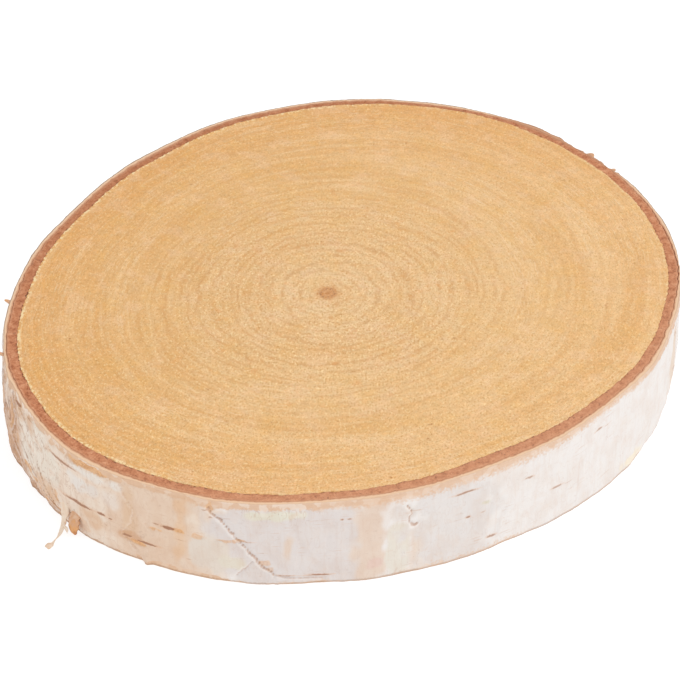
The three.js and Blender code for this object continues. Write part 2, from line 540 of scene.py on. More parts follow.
def hidden_tints():
    """Seeded tinted patches for the far side, upright like the ones in front."""
    return [(random_marks.uniform(*HIDDEN_SIDE), random_marks.uniform(0, 30), random_marks.uniform(1.5, 9),
             random_marks.uniform(4, 18), random_marks.uniform(2.5, 6),
             str(random_marks.choice(HIDDEN_TINT_COLOURS)))
            for _ in range(HIDDEN_TINT_COUNT)]


HIDDEN_LENTICELS = hidden_lenticels()
HIDDEN_TINTS = hidden_tints()
print(f"{len(LENTICELS + HIDDEN_LENTICELS)} lenticels, {len(TEARS)} tears, {len(CREASES)} creases, "
      f"{len(TINTS + HIDDEN_TINTS)} tints")

# %% Shape and colour of a patch
SQUARENESS = 2.5


def patch_inside(angle, height, direction, middle, half_length, half_height):
    """Millimetres inside a rounded patch of bark, negative outside it."""
    along = turn_from(direction, angle) * MEAN_RADIUS / half_length
    up = (height - middle) / half_height
    away = (np.abs(along) ** SQUARENESS + np.abs(up) ** SQUARENESS) ** (1 / SQUARENESS)
    return (1 - away) * min(half_length, half_height)


def linear(hex_colour):
    """Linear RGB and alpha from an sRGB hex colour."""
    channels = [int(hex_colour[i:i + 2], 16) / 255 for i in (1, 3, 5)]
    return (*[c / 12.92 if c <= 0.04045 else ((c + 0.055) / 1.055) ** 2.4 for c in channels], 1.0)


# %% Where the creases lie
CREASE_HALF_WIDTH, LIP_HALF_WIDTH = 0.45, 1.1


def crease_lines(angle, height, points):
    """How much each point lies in a crease, and which side of it, from the nearest stretch of each line."""
    wander = 0.5 * unevenness(points, (2.5, 2.5, 3.0), 3, 33.0)
    best = np.zeros(angle.shape)
    side = np.zeros(angle.shape)
    for strength, *stations in CREASES:
        for (a_turn, a_up), (b_turn, b_up) in zip(stations, stations[1:]):
            across = turn_from(a_turn, angle) * MEAN_RADIUS + wander
            up = height - a_up
            run, climb = math.radians(b_turn - a_turn) * MEAN_RADIUS, b_up - a_up
            share = np.clip((across * run + up * climb) / (run ** 2 + climb ** 2), 0, 1)
            off = np.hypot(across - share * run, up - share * climb)
            here = strength * np.exp(-(off / CREASE_HALF_WIDTH) ** 2)
            lip = 0.8 * strength * np.exp(-(off / LIP_HALF_WIDTH) ** 2)
            apart = lip * np.sign(across * climb - up * run)
            side = np.where(np.abs(apart) > np.abs(side), apart, side)
            best = np.maximum(best, here)
    return best, side


# %% Where the chips, tears and lenticels lie
# How far down the chips along the upper saw cut reach, and how far up those along the lower one.
TOP_CHIP, FOOT_CHIP = 1.6, 1.3
UNMARKED = -9.0


def chips(angle, height, ragged):
    """Millimetres inside the chips along both saw cuts, negative where the white paper is whole."""
    left, right, smooth = near(225, 25, angle), near(326, 24, angle), near(298, 46, angle, 4)
    top_chip = TOP_CHIP + 0.7 * left - 0.6 * right + 0.9 * round_unevenness(angle, 14, 31.0)
    top_chip = np.maximum(top_chip, 2.1 - 1.0 * right)
    foot_chip = FOOT_CHIP - 1.5 * smooth + 0.7 * round_unevenness(angle, 17, 41.0)
    chipped = np.maximum(height - THICKNESS + top_chip, foot_chip - height) + ragged * (1 - 0.85 * smooth)
    return chipped * (1 - 0.85 * smooth)


def tears(angle, height, ragged):
    """Millimetres inside the deep tears, and how deep they are."""
    torn, depth = np.full(angle.shape, UNMARKED), np.zeros(angle.shape)
    for direction, middle, half_length, half_height, deep in TEARS:
        inside = patch_inside(angle, height, direction, middle, half_length, half_height)
        depth = np.where(inside > torn, deep, depth)
        torn = np.maximum(torn, inside)
    return torn + 0.5 * ragged, depth


def slits(angle, height, points):
    """How far inside a lenticel each point lies, 1 in its middle, and how dark that lenticel is."""
    slit, darkness = np.full(angle.shape, -1.0), np.zeros(angle.shape)
    wander = 0.12 * unevenness(points, (4, 4, 4), 2, 51.0)
    for direction, middle, length, thick, dark in LENTICELS + HIDDEN_LENTICELS:
        along = turn_from(direction, angle) * MEAN_RADIUS / (length / 2)
        up = (height + wander - middle) / (thick / 2)
        inside = 1 - np.hypot(along, up)
        darkness = np.where(inside > slit, dark, darkness)
        slit = np.maximum(slit, inside)
    return slit, darkness


# %% Paint and stepped layers
PAPER_WHITE = "#E6E0DC"
STEP_HIGH = 0.3


def bark_paint(angle, height, points):
    """The paper's own colour at each point: white, with the tinted patches laid over it."""
    paint = np.broadcast_to(np.array(linear(PAPER_WHITE)), (*angle.shape, 4)).copy()
    blur = 0.6 * unevenness(points, (4, 4, 6), 2, 61.0)
    for direction, middle, half_length, half_height, softness, colour in TINTS + HIDDEN_TINTS:
        inside = patch_inside(angle, height, direction, middle, half_length, half_height)
        cover = soft_step(inside + softness * blur, -softness / 2, softness / 2)[..., None]
        paint += (np.array(linear(colour)) - paint) * cover
    return paint


def stepped_layers(angle, height, points):
    """Relief, edge lines and layer tints where the paper has come off in steps."""
    strength = np.zeros(angle.shape)
    for direction, middle, half_width, half_height, amount in STEPPED:
        across = turn_from(direction, angle) / math.radians(half_width)
        up = (height - middle) / half_height
        strength = np.maximum(strength, amount * np.exp(-(across ** 2 + up ** 2)))
    terrain = 2.2 * unevenness(points, (7, 7, 15), 2, 91.0)
    terrain += 0.1 * unevenness(points, (1.5, 1.5, 2.5), 2, 95.0)
    level = np.floor(terrain)
    rise = terrain - level
    relief = STEP_HIGH * (level + soft_step(rise, 0.35, 0.65))
    ledge = np.exp(-((rise - 0.5) / 0.14) ** 2)
    return relief * strength, ledge * strength, (0.5 + 0.5 * np.sin(level * 2.4)) * strength


# %% Values and relief of the bark's outside
# How much, over how many millimetres, and where in the noise each unevenness of the paper begins.
PAPER_RELIEF = ((0.3, 22, 0.0), (0.1, 6, 2.0), (0.05, (1.3, 1.3, 16), 4.0), (0.04, (14, 14, 0.9), 6.0))
# Bumps and dents of the bark: direction, half width in degrees, top height, millimetres out.
KNOCKS = [
    (53.5, 3.4, 40, 0.8), (48.6, 1.1, 40, 0.5), (44.5, 2.6, 40, -0.9), (36.5, 4.2, 40, -0.65),
    (18.5, 5, 40, 0.6), (7, 3, 40, -0.3), (358, 6, 26, -0.5), (130, 38, 40, 0.35), (204.5, 2.2, 16, 1),
    (214, 5, 6, 0.2), (238.5, 0.6, 2.5, 1.1), (292, 6, 5, 0.7), (336, 5, 8, -0.6), (191, 7, 24, -0.6),
]
# Millimetres that each mark goes in or, for a crease's lifted lip and a lenticel, stands out.
CHIP_DEEP, CREASE_DEEP, CREASE_LIP, SLIT_PROUD, FOOT_TUCKED = 0.28, 0.35, 0.22, 0.16, 0.85
BROKEN_RIM = 0.3


def bark_values(angle, height, points):
    """Every value that the bark's outside stores for its material, and the relief of its steps."""
    ragged = 0.9 * unevenness(points, (3.2, 3.2, 2.2), 4, 21.0)
    torn, depth = tears(angle, height, ragged)
    slit, darkness = slits(angle, height, points)
    crease, crease_side = crease_lines(angle, height, points)
    weathered = 0.15 + 0.85 * near(209, 19, angle)
    weathered = np.maximum(weathered, 0.6 * soft_step(unevenness(points, 45, 2, 19.0), 0.1, 0.7))
    steps, ledge, layer = stepped_layers(angle, height, points)
    values = {"chipped": chips(angle, height, ragged), "torn": torn, "tear_depth": depth, "crease": crease,
              "crease_side": crease_side, "slit": slit, "darkness": darkness, "weathered": weathered,
              "ledge": ledge, "layer": layer}
    return values, steps


def bark_relief(angle, height, points, values, steps):
    """How far the outside stands proud of the trunk's outline, in millimetres."""
    relief = sum(amount * unevenness(points, size, 2, start) for amount, size, start in PAPER_RELIEF) + steps
    for direction, half_width, top, out in KNOCKS:
        relief += out * near(direction, half_width, angle) * (1 - soft_step(height, top - 2, top + 2))
    broken = near(40, 8.5, angle, 4) * soft_step(height, 18, 24)
    relief += BROKEN_RIM * broken * unevenness(points, (1.6, 1.6, 3.0), 3, 12.0)
    relief -= FOOT_TUCKED * near(228, 42, angle, 4) * soft_step(height, 9, 0)
    relief -= CHIP_DEEP * soft_step(values["chipped"], -0.15, 0.2)
    relief += CREASE_LIP * values["crease_side"] - CREASE_DEEP * values["crease"]
    fibres = 0.3 + 0.25 * unevenness(points, (2.5, 2.5, 0.9), 2, 9.0)
    relief -= values["tear_depth"] * soft_step(values["torn"], -0.2, 0.3) * fibres
    relief += SLIT_PROUD * soft_step(values["slit"], -0.2, 0.5) * values["darkness"]
    return relief + belly_out(angle, height)


# %% Outer bark
ROWS_UP, RIM_INSET = 80, 0.12
# How far in from the skin the rows of points of the sawn rims lie.
TOP_DEPTHS, FOOT_DEPTHS = (0.08, 0.3, 0.6, 0.9, 1.2, 1.43), (1.43, 0.9, 0.5, 0.12)
# What a value is where its mark is absent, if not 0.
ABSENT = {"chipped": UNMARKED, "torn": UNMARKED, "slit": -1.0}


def bark_rim(skin_radius, inner, depths, level, fuzz):
    """Rows of points on a sawn rim, from the skin to the inner bark or back."""
    share = np.array(depths)[:, None] / OUTER_BARK
    points = place(around, skin_radius + (inner - skin_radius) * share, level)
    points[..., 2] += fuzz * unevenness(points, (0.8, 0.8, 1), 2, 13.0)
    return points


def make_outer_bark():
    """The papery bark: a thin shell whose outside carries every mark as relief."""
    rows = np.linspace(RIM_INSET, THICKNESS - RIM_INSET, ROWS_UP)[:, None]
    height = np.repeat(rows, DIRECTIONS, axis=1)
    angle = np.repeat(around[None, :], ROWS_UP, axis=0)
    even = place(angle, trunk_radius(angle), height)
    values, steps = bark_values(angle, height, even)
    paint = bark_paint(angle, height, even)
    radius = trunk_radius(angle) + bark_relief(angle, height, even, values, steps)
    inner = trunk_radius(around) - OUTER_BARK + seam_wander(around)
    top_rim = bark_rim(radius[-1], inner, TOP_DEPTHS, THICKNESS - 0.03, 0.1)
    foot_rim = bark_rim(radius[0], inner, FOOT_DEPTHS, 0.0, 0.0)
    section = np.concatenate((place(angle, radius, height), top_rim, wall(inner)[::-1], foot_rim))

    depths = np.array((*[0.0] * ROWS_UP, *TOP_DEPTHS, OUTER_BARK, OUTER_BARK, *FOOT_DEPTHS))
    unmarked = (len(section) - ROWS_UP, DIRECTIONS)
    layers = {name: np.concatenate((marks, np.full(unmarked, ABSENT.get(name, 0.0))))
              for name, marks in values.items()}
    layers["depth_mm"] = np.repeat(depths[:, None], DIRECTIONS, axis=1)
    rim_rows = slice(ROWS_UP, ROWS_UP + len(TOP_DEPTHS))
    bare = near(47, 15, around, 6)
    layers["weathered"][rim_rows] = np.maximum(0.9 * near(100, 102, around, 8), bare)
    layers["chipped"][rim_rows] = bare
    # The top rim and the wall take the paint of the highest row, and the foot rim takes that of the lowest.
    rows_of_paint = [*range(ROWS_UP), *[ROWS_UP - 1] * (len(TOP_DEPTHS) + 2), *[0] * len(FOOT_DEPTHS)]
    rim_mm, foot_mm = [0.3] * (len(TOP_DEPTHS) + 1), [0.5] * (len(FOOT_DEPTHS) + 1)
    section_mm = [0.36] * (ROWS_UP - 1) + rim_mm + [2.0] + foot_mm
    return hoop_piece("outer_bark", section, layers, section_mm, 6, {"paint": paint[rows_of_paint]})


outer_bark = make_outer_bark()

# %% [markdown]
# ## Curls and flaps
# Birch paper comes off in strips. One thin strip hangs off the lower left with its tip on the floor, an
# orange tongue of deeper bark is rolled up beside it, and small flaps lift elsewhere. Each is a thin closed
# sheet laid along a spine of a few points (direction, how proud of the bark, height), so it really stands
# off the trunk.

# %% Thin sheets of bark
STEPS_ALONG, STEPS_ACROSS = 30, 9
PAPER_THICK, NIB_THICK = 0.22, 0.45
ABOVE_FLOOR = 0.02


def smooth_line(stations, count):
    """Points along a smooth line through a few stations, by Catmull-Rom interpolation."""
    stations = np.asarray(stations, float)
    padded = np.concatenate((2 * stations[:1] - stations[1:2], stations, 2 * stations[-1:] - stations[-2:-1]))
    t = np.linspace(0, len(stations) - 1, count)
    i = np.minimum(t.astype(int), len(stations) - 2)
    u = (t - i)[:, None]
    a, b, c, d = (padded[i + k] for k in range(4))
    bend, twist = 2 * a - 5 * b + 4 * c - d, 3 * b - a - 3 * c + d
    return 0.5 * (2 * b + (c - a) * u + bend * u ** 2 + twist * u ** 3)


def sheet_faces_and_uvs(along, across):
    """Faces and UVs of a closed thin sheet: two grids of points and a strip of faces round their edge."""
    def corner(side, i, j, out=0.0):
        return (0.25 + 0.5 * side + (j / (across - 1) - 0.5) * (0.42 + out),
                0.5 + (i / (along - 1) - 0.5) * (0.9 + out))

    faces, uvs, back = [], [], along * across
    for i in range(along - 1):
        for j in range(across - 1):
            cell = ((i, j), (i, j + 1), (i + 1, j + 1), (i + 1, j))
            faces += [[a * across + b for a, b in cell], [back + a * across + b for a, b in cell[::-1]]]
            uvs += [corner(0, a, b) for a, b in cell] + [corner(1, a, b) for a, b in cell[::-1]]
    ring = ([(0, j) for j in range(across - 1)] + [(i, across - 1) for i in range(along - 1)]
            + [(along - 1, j) for j in range(across - 1, 0, -1)] + [(i, 0) for i in range(along - 1, 0, -1)])
    for (i, j), (k, m) in zip(ring, ring[1:] + ring[:1]):
        faces.append([k * across + m, i * across + j, back + i * across + j, back + k * across + m])
        uvs += [corner(0, k, m), corner(0, i, j), corner(0, i, j, 0.04), corner(0, k, m, 0.04)]
    return faces, uvs


def peel(name, stations, thick, tones, camber=0.3, seed=0.0, level=False, skin=0.0):
    """A strip of bark. A station is direction, millimetres proud, height and width.

    `camber` bends its edges back towards the trunk, and `tones` at its root and tip run from 0 for pale paper
    to 1 for orange underbark. A level strip lies flat, and `skin` says how white its outer side is.
    """
    line = smooth_line(stations, STEPS_ALONG)
    angle = np.radians(line[:, 0])
    spine = place(angle, trunk_radius(angle) + line[:, 1], line[:, 2])
    outward = np.stack((np.cos(angle), np.sin(angle), 0 * angle), axis=-1)
    up = np.array((0.0, 0.0, 1.0))
    forward = np.gradient(spine, axis=0)
    sideways = np.cross(forward, up if level else outward)
    sideways /= np.linalg.norm(sideways, axis=1, keepdims=True)
    off = np.cross(sideways, forward)
    off /= np.linalg.norm(off, axis=1, keepdims=True)
    share = np.linspace(-1, 1, STEPS_ACROSS)[None, :, None]
    half = np.maximum(line[:, 3] * (1 + 0.35 * unevenness(spine, 1.8, 2, 60 + seed)), 0.15)[:, None, None] / 2
    middle = spine[:, None] + sideways[:, None] * share * half - off[:, None] * camber * half * share ** 2
    middle = middle + 0.12 * unevenness(middle, 2.0, 2, 70 + seed)[..., None] * off[:, None]
    faces, uvs = sheet_faces_and_uvs(STEPS_ALONG, STEPS_ACROSS)
    points = np.concatenate([(middle + off[:, None] * s * thick / 2).reshape(-1, 3) for s in (1, -1)])
    points[:, 2] = np.maximum(points[:, 2], ABOVE_FLOOR)
    along = np.tile(np.repeat(np.linspace(*tones, STEPS_ALONG), STEPS_ACROSS), 2)
    tone = along + 0.12 * unevenness(points, 1.5, 2, 80 + seed)
    skins = np.repeat((skin, 0.0), STEPS_ALONG * STEPS_ACROSS)
    return make_object(name, points, faces, uvs, {"tone": tone, "skin": skins})


curls = [
    peel("hanging_curl", [(222.6, -0.9, 11.5, 2.4), (223.2, 0.3, 8.8, 3.2), (223.6, 1.1, 6.2, 3.2),
         (223.9, 2.0, 4.0, 2.6), (224.3, 3.4, 2.4, 2.2), (224.7, 5.4, 1.3, 1.6), (225.0, 7.9, 0.8, 1.2),
         (225.0, 9.4, 0.5, 2.2), (225.0, 10.3, 0.4, 1.5)], PAPER_THICK, (0.1, 0.3)),
    peel("curl_barb", [(224.2, 2.5, 3.4, 1.4), (224.7, 2.8, 2.9, 1.3), (225.2, 3.0, 2.5, 1.5),
         (225.5, 3.2, 2.2, 1.0)], 0.2, (0.1, 0.1)),
    peel("rolled_tongue", [(225.3, -1.2, 9.6, 2.6), (225.4, -0.2, 8.0, 3.4), (225.6, 1.2, 6.0, 3.8),
         (225.8, 2.0, 4.0, 3.7), (226.0, 2.1, 2.4, 3.0), (226.2, 1.6, 1.3, 1.5)], 0.5, (0.4, 0.95), 0.4),
]
NIBS = [(41.3, 0.8, 2.6), (35.6, 0.1, 1.6), (184.6, 1.7, 0.9), (198.2, 1.1, 0.8)]
for number, (direction, proud, width) in enumerate(NIBS):
    stations = [(direction, -0.9, 28.8, width * 1.6), (direction + 0.1, -0.1, 29.2, width * 1.2),
                (direction - 0.1, proud * 0.6, 29.4, width * 0.7), (direction - 0.25, proud, 29.5, 0.3)]
    curls.append(peel(f"rim_nib_{number}", stations, NIB_THICK, (0.62, 0.66), 0.2, 30.0 + number, level=True))


# Share of its length, how far it has lifted and its share of the width, from the fixed end to the loose
# one.
ROLLS_BACK = ((0, -0.35, 0.7), (0.2, 0.12, 1.0), (0.45, 0.3, 1.0), (0.7, 0.62, 0.85), (0.88, 1.0, 0.7),
              (0.93, 1.35, 0.5))


def horizontal_peel(name, start, middle, length, width, lift, seed):
    """Birch paper peels round the trunk: one end stays fixed and the other lifts away and rolls back."""
    stations = []
    for share, out, wide in ROLLS_BACK:
        angle = start + math.degrees(share * length / MEAN_RADIUS)
        belly = float(belly_out(np.array(math.radians(angle)), np.array(middle)))
        height = middle + 0.06 * length * share * math.sin(seed)
        stations.append((angle, belly + lift * out, height, width * wide))
    return peel(name, stations, PAPER_THICK, (0.3, 0.3), 0.12, seed, skin=0.9)


FAR_PEELS = 7
FAR_PEEL_LIMITS = ((10, 165), (6, 26), (7, 17), (1.6, 4.5), (0.9, 2.2))
for number in range(FAR_PEELS):
    # Direction, height, length, width and lift, in that order.
    chosen = [random_marks.uniform(*limits) for limits in FAR_PEEL_LIMITS]
    curls.append(horizontal_peel(f"far_peel_{number}", *chosen, 20.0 + number))
print(f"{len(curls)} curls, nibs and peels")

# %% [markdown]
# ## Nodes without fuss
# Every material below is a small chain of nodes. One helper adds a node, sets it up, links it and gives
# back what comes out of it, so that a recipe reads from top to bottom. Wood and bark are both built up like
# a glaze: coat after coat of colour, each showing only where its masks let it through.

# %% One helper for every node
USUAL_SETTINGS = {"Mix": {"data_type": "RGBA"}, "MapRange": {"interpolation_type": "SMOOTHSTEP"}}


def add(tree, kind, *values, inputs=None, output=None, stops=(), **settings):
    """Adds a node and gives one of its outputs: the named one, or the first in use.

    A kind in capitals is an operation of the Math node. Values go to the inputs in use, in order, and those
    in `inputs` go by name. Each is a number, a hex colour or another node's output.
    """
    if kind.isupper():
        kind, settings = "Math", {"operation": kind}
    made = tree.nodes.new("ShaderNode" + kind)
    for name, value in {**USUAL_SETTINGS.get(kind, {}), **settings}.items():
        setattr(made, name, value)
    elements = made.color_ramp.elements if stops else ()
    while len(elements) < len(stops):
        elements.new(0.5)
    for element, (position, colour) in zip(elements, stops):
        element.position = position
        element.color = linear(colour) if isinstance(colour, str) else colour
    in_use = [socket for socket in made.inputs if socket.enabled]
    named = [(made.inputs[name], value) for name, value in (inputs or {}).items()]
    for socket, value in [*zip(in_use, values), *named]:
        if isinstance(value, bpy.types.NodeSocket):
            tree.links.new(value, socket)
        else:
            socket.default_value = linear(value) if isinstance(value, str) else value
    return made.outputs[output] if output else next((s for s in made.outputs if s.enabled), None)


# %% Material helpers
def start_material(name):
    """An empty material, and the helper tied to its nodes."""
    material = bpy.data.materials.new(name)
    material.use_nodes = True
    material.node_tree.nodes.clear()
    return material, partial(add, material.node_tree)


def finish_material(node, colour, roughness, ior, relief=None, strength=0.0, depth_mm=0.0, **more):
    """The shader, with even values set on its own sockets, and a bump for relief too fine for the mesh."""
    inputs = {"Base Color": colour, "Roughness": roughness, "IOR": ior, **more}
    if relief is not None:
        bump = {"Height": relief, "Strength": strength, "Distance": depth_mm * MM}
        inputs["Normal"] = node("Bump", inputs=bump)
    node("OutputMaterial", node("BsdfPrincipled", inputs=inputs))


def grey(value):
    """A neutral ramp colour."""
    return (value, value, value, 1.0)


def position_in_mm(node):
    """The point's place in the frame, in millimetres."""
    return node("VectorMath", node("TexCoord", output="Object"), inputs={"Scale": 1 / MM}, operation="SCALE")


def stretched_noise(node, vector, size, detail=2.0, rough=0.5):
    """Noise that changes over `size` millimetres: one number, or one each along X, Y and Z."""
    sizes = size if isinstance(size, tuple) else (size, size, size)
    scaled = node("VectorMath", vector, tuple(1 / s for s in sizes), operation="MULTIPLY")
    return node("TexNoise", scaled, 1.0, detail, rough)


def coats(node, colour, *layers):
    """Lays coats of colour one over another. A coat is one mask or more, which multiply, and then its colour.

    A mask in brackets is spread by a MapRange node: a value, the levels between which it counts from nothing
    to all, and what it counts there if that is not 0 and 1.
    """
    for *masks, tint in layers:
        masks = [node("MapRange", *mask) if isinstance(mask, tuple) else mask for mask in masks]
        cover = masks[0]
        for mask in masks[1:]:
            cover = node("MULTIPLY", cover, mask)
        colour = node("Mix", cover, colour, tint)
    return colour



# %% [markdown]
# ## Sawn birch
# Birch sapwood, band-sawn across the grain and left bare. It is pale honey, slightly redder in the middle,
# and its growth rings are faint because birch has no dense latewood: only a thin line, broken along its
# length. End grain drinks light, so it has no shine, and its cut fibres give a fine, even grain. The rings
# are drawn from each point's own distance to the pith, so they follow the trunk's shape and not a perfect
# circle. Real fibres are 0.03 mm wide, too fine to show, so the grain is drawn at 0.6 to 0.8 mm.

# %% Sawn birch material
RING_PITCH = 3.1
WOOD_ROUGHNESS, WOOD_IOR = 0.62, 1.5


def make_sawn_birch():
    """Bare end grain of birch."""
    material, node = start_material("sawn_birch_end_grain")
    mm = position_in_mm(node)
    noise_mm = partial(stretched_noise, node, mm)
    growth = node("Attribute", attribute_name="growth_mm", output="Fac")
    x_mm, y_mm = (node("SeparateXYZ", mm, output=axis) for axis in "XY")
    centred = node("VectorMath", mm, (*(PITH - MIDDLE), 0.0), operation="SUBTRACT")
    flat = node("VectorMath", centred, (1.0, 1.0, 0.0), operation="MULTIPLY")
    towards = node("VectorMath", flat, operation="NORMALIZE")

    def along_rings(reach, lobes, width, detail=2.0):
        """Noise that follows the rings: 6 x `lobes` changes round the pith and one every `width` mm out."""
        out = node("DIVIDE", reach, width / lobes)
        return node("TexNoise", towards, out, lobes, detail, noise_dimensions="4D")

    # The rings: a thin line each year, swaying, of uneven width and broken along its length.
    sway = node("MULTIPLY_ADD", noise_mm(22.0), 6.0, -3.0)
    jitter = node("MULTIPLY_ADD", noise_mm(3.5), 3.2, -1.6)
    swayed = node("ADD", node("ADD", growth, sway), jitter)
    uneven = node("TexNoise", node("MULTIPLY", growth, 0.13), 1.0, 1.0, noise_dimensions="1D")
    year = node("FRACT", node("DIVIDE", node("MULTIPLY_ADD", uneven, 6.0, swayed), RING_PITCH))
    line = node("ValToRGB", year, stops=[
        (0.0, grey(0.35)), (0.2, grey(0.0)), (0.55, grey(0.15)), (0.82, grey(1.0)), (1.0, grey(0.35))])
    nearby = node("MapRange", growth, 72.0, 34.0, 0.3, 1.0)
    seen = node("MULTIPLY", nearby, node("MapRange", along_rings(growth, 2.5, 14.0), 0.36, 0.6, 0.15, 1.0))
    ring = node("MULTIPLY", node("MULTIPLY", line, seen), node("MapRange", growth, 2.5, 6.0, 0.2, 1.0))

    # Grain, rays and patches, and painted light: a painted sheen on the right, towards the lamp, and painted
    # shade on the left.
    fine = noise_mm((0.55, 0.85, 0.6), 3.0, 0.65)
    coarse = noise_mm(2.1)
    blotch = noise_mm(7.0)
    mottle = along_rings(swayed, 15.0, 1.5)
    mottled = node("MapRange", growth, 58.0, 22.0, 0.1, 0.42)
    specks = node("MapRange", fine, 0.46, 0.62)
    pale = node("MapRange", noise_mm((0.65, 1.0, 0.7), 2.0, 0.6), 0.5, 0.72)
    front = node("MapRange", y_mm, 10.0, -60.0, 0.0, 0.16)
    lively = node("ADD", node("MapRange", growth, 62.0, 24.0, 0.44, 0.74), front)
    figure = node("MULTIPLY", node("MapRange", along_rings(growth, 16.0, 60.0, 1.0), 0.5, 0.68),
                  node("MapRange", growth, 14.0, 40.0))
    # right rises towards the lamp at the front right and drives a painted sheen; left marks the left side,
    # where it drives painted shade and a stronger torn edge.
    right = node("MapRange", node("MULTIPLY_ADD", y_mm, -0.5, x_mm), -110.0, 110.0)
    left = node("MapRange", node("MULTIPLY_ADD", y_mm, -0.3, x_mm), -8.0, -42.0)

    base = node("ValToRGB", node("DIVIDE", growth, 100.0), stops=[
        (0.0, "#D8A269"), (0.035, "#E2B47C"), (0.09, "#E8C08D"), (0.4, "#E7BE87"), (0.6, "#E4B579"),
        (0.82, "#E4B072"), (0.95, "#E1A45F")])
    # The first two coats and the pale middle on the right are painted light: a sheen towards the lamp and
    # shade on the left.
    base = coats(node, base, (right, 0.55, "#EBC48F"), (left, 0.33, "#DBA763"),
                 ((growth, 26.0, 8.0), right, 0.5, "#F4DDB4"),
                 ((along_rings(growth, 1.6, 13.0), 0.44, 0.66), 0.3, "#DA9E52"),
                 ((along_rings(node("ADD", growth, 300.0), 2.6, 11.0), 0.46, 0.66), 0.3, "#F1CF9E"),
                 (ring, 0.38, "#CA8536"), (ring, specks, 0.5, "#B4742F"),
                 ((along_rings(swayed, 9.0, 2.2), 0.46, 0.66), nearby, (coarse, 0.4, 0.6), 0.4, "#C17A2C"),
                 (figure, (along_rings(growth, 1.3, 30.0, 1.0), 0.42, 0.6), 0.45, "#F3D6AD"),
                 ((blotch, 0.52, 0.68, 0.0, 0.24), "#E2AE5C"), ((blotch, 0.46, 0.32, 0.0, 0.24), "#EFC9A4"),
                 ((noise_mm(5.0, 3.0), 0.6, 0.72), nearby, 0.42, "#DA9146"),
                 ((mottle, 0.48, 0.32), mottled, "#C67D2B"), ((mottle, 0.52, 0.68), mottled, "#F5DCB2"),
                 (pale, lively, "#F4D8A4"), ((fine, 0.5, 0.3), node("ADD", lively, 0.1), "#CC8D3E"))

    rays = node("SUBTRACT", along_rings(growth, 60.0, 400.0, 1.0), 0.5)
    grain = node("ADD", node("MULTIPLY_ADD", fine, 0.3, 0.85), node("MULTIPLY_ADD", coarse, 0.3, -0.15))
    grain = node("ADD", grain, node("MULTIPLY", rays, node("MapRange", growth, 55.0, 90.0, 0.08, 0.4)))
    base = node("VectorMath", base, inputs={"Scale": grain}, operation="SCALE")

    # The fuzzy edge against the bark, rare flecks, and the pith.
    torn = node("MapRange", noise_mm((0.8, 1.1, 0.8)), 0.5, 0.58)
    pith_growth = node("ADD", growth, node("MULTIPLY_ADD", fine, 5.0, -2.5))
    pith_rim = node("MULTIPLY", node("MapRange", growth, 3.1, 2.4), node("MapRange", growth, 1.2, 2.0))
    base = coats(node, base,
                 ((growth, 98.2, 99.6), torn, node("MULTIPLY_ADD", left, 0.45, 0.25), "#F8E2B0"),
                 ((noise_mm(2.4), 0.7, 0.8), (noise_mm(16.0, 1.0), 0.45, 0.6), 0.7, "#B3702F"),
                 ((pith_growth, 5.0, 1.6), 0.5, "#C4742A"), (pith_rim, specks, 0.75, "#93521F"),
                 ((pith_growth, 1.0, 0.2), 0.3, "#A8642C"))
    relief = node("ADD", node("MULTIPLY", fine, 0.12), node("MULTIPLY", ring, 0.03))
    finish_material(node, base, WOOD_ROUGHNESS, WOOD_IOR, relief, 0.3, 0.6)
    return material


wood.data.materials.append(make_sawn_birch())

# %% [markdown]
# ## Corky inner bark
# Dry phloem and cork, cut by the same saw. It is a granular reddish brown with paler stone cells. Painted
# shade darkens the small cracks where it has come away from the wood, most on the left, and painted light
# makes the ring lighter towards the lamp at the front right and darker at the back left. Its surface is dull
# and crumbly, so its roughness is high.

# %% Inner bark material
CORK_ROUGHNESS, BARK_IOR = 0.85, 1.45


def make_cork():
    """Sawn inner bark."""
    material, node = start_material("dry_inner_bark")
    mm = position_in_mm(node)
    noise_mm = partial(stretched_noise, node, mm)
    x_mm, y_mm = (node("SeparateXYZ", mm, output=axis) for axis in "XY")
    across = node("Attribute", attribute_name="across", output="Fac")
    grains = noise_mm(0.55, 3.0, 0.6)
    tone = node("MULTIPLY_ADD", noise_mm(2.0), 0.5, node("MULTIPLY", grains, 0.5))
    tone = node("ValToRGB", tone, stops=[
        (0.36, "#9E5C3A"), (0.45, "#BC7751"), (0.54, "#CB8760"), (0.66, "#DFA37C")])
    # Painted light and shade: the ring is coloured lighter towards the lamp at the front right and darker at
    # the back left.
    painted_lamp_side = node("MULTIPLY_ADD", y_mm, -0.0087, node("MULTIPLY", x_mm, 0.005))
    # Painted shade in the small cracks next to the wood, strongest on the left.
    painted_crack_shade = node("MULTIPLY", node("MapRange", across, 0.2, 0.02),
                  node("MapRange", noise_mm(1.2), 0.52, 0.6))
    tone = coats(node, tone, ((painted_lamp_side, 0.1, 1.0, 0.0, 0.33), "#DCA682"),
                 ((painted_lamp_side, -0.1, -1.0, 0.0, 0.4), "#A5673F"), ((across, 0.7, 1.0, 0.0, 0.5), "#DDA682"),
                 (painted_crack_shade, (x_mm, -5.0, -35.0, 0.45, 0.85), "#6B3B28"),
                 ((noise_mm(1.1, 1.0), 0.66, 0.74), 0.5, "#7B4832"))
    finish_material(node, tone, CORK_ROUGHNESS, BARK_IOR, grains, 0.7, 0.3)
    return material


inner_bark.data.materials.append(make_cork())

# %% [markdown]
# ## Papery outer bark
# White betulin powder on paper-thin cork. Under it lie peach layers, and under those orange ones with short
# fibres. The values stored on the mesh say where each shows: this material only gives them colour, softens
# their edges with noise and adds what is finer than the mesh, such as hairline lenticels and faint streaks.
# The paper has a soft satin light on it, and torn bark has none.

# %% Outer bark material
BARK_VALUES = ("weathered", "layer", "ledge", "chipped", "torn", "tear_depth", "crease", "crease_side",
               "slit", "darkness", "depth_mm")


